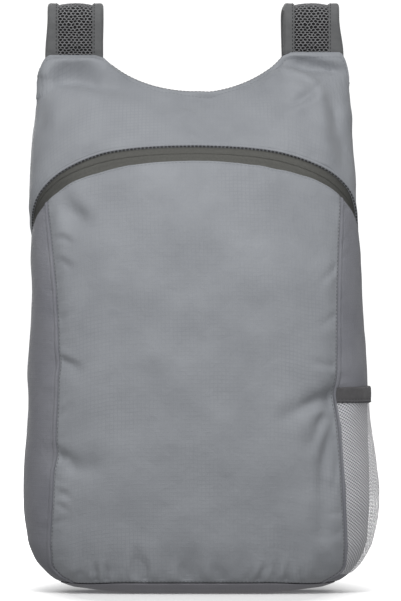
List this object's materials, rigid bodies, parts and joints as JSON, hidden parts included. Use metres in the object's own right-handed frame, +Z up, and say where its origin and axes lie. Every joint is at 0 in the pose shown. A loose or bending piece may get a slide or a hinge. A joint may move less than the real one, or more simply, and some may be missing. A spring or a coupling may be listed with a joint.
{
  "type": "packable backpack",
  "caption": "Lightweight day backpack in thin ripstop cloth with a curved zip, a net side pocket and air-mesh shoulder straps, standing on its flat base.",
  "frame": {"origin": "middle of the flat base, on the surface that the bag stands on", "axes": "+Z up along the bag's height, -Y out of the bag's front, +X to the right as seen from the front, where the net pocket is"},
  "size_m": [0.2776, 0.1635, 0.4613],
  "materials": {
    "ripstop_cloth": "silver-grey ripstop nylon, satin",
    "side_cloth": "grey ripstop nylon, satin",
    "base_cloth": "dark grey nylon, satin",
    "zip_tape": "woven polyester tape",
    "zip_coil": "nylon coil",
    "zip_slider": "painted zinc",
    "pocket_net": "fine warp-knit net",
    "pocket_binding": "dark elastic binding",
    "air_mesh": "padded spacer mesh",
    "strap_tape": "woven nylon binding tape",
    "webbing": "woven nylon webbing",
    "buckle": "moulded acetal"
  },
  "bodies": {
    "root": {"front_panel": "ripstop_cloth", "yoke_panel": "ripstop_cloth", "back_panel": "ripstop_cloth", "side_panel_left": "side_cloth", "side_panel_right": "side_cloth", "base_panel": "base_cloth", "zip_tape_upper": "zip_tape", "zip_tape_lower": "zip_tape", "zip_coil": "zip_coil", "zip_slider": "zip_slider", "mesh_pocket": "pocket_net", "pocket_binding": "pocket_binding", "strap_mesh_left": "air_mesh", "strap_binding_inner_left": "strap_tape", "strap_binding_outer_left": "strap_tape", "strap_end_left": "strap_tape", "strap_loop_left": "webbing", "ladder_lock_left": "buckle", "webbing_left": "webbing", "anchor_tab_left": "side_cloth", "strap_mesh_right": "air_mesh", "strap_binding_inner_right": "strap_tape", "strap_binding_outer_right": "strap_tape", "strap_end_right": "strap_tape", "strap_loop_right": "webbing", "ladder_lock_right": "buckle", "webbing_right": "webbing", "anchor_tab_right": "side_cloth"}
  },
  "joints": []
}
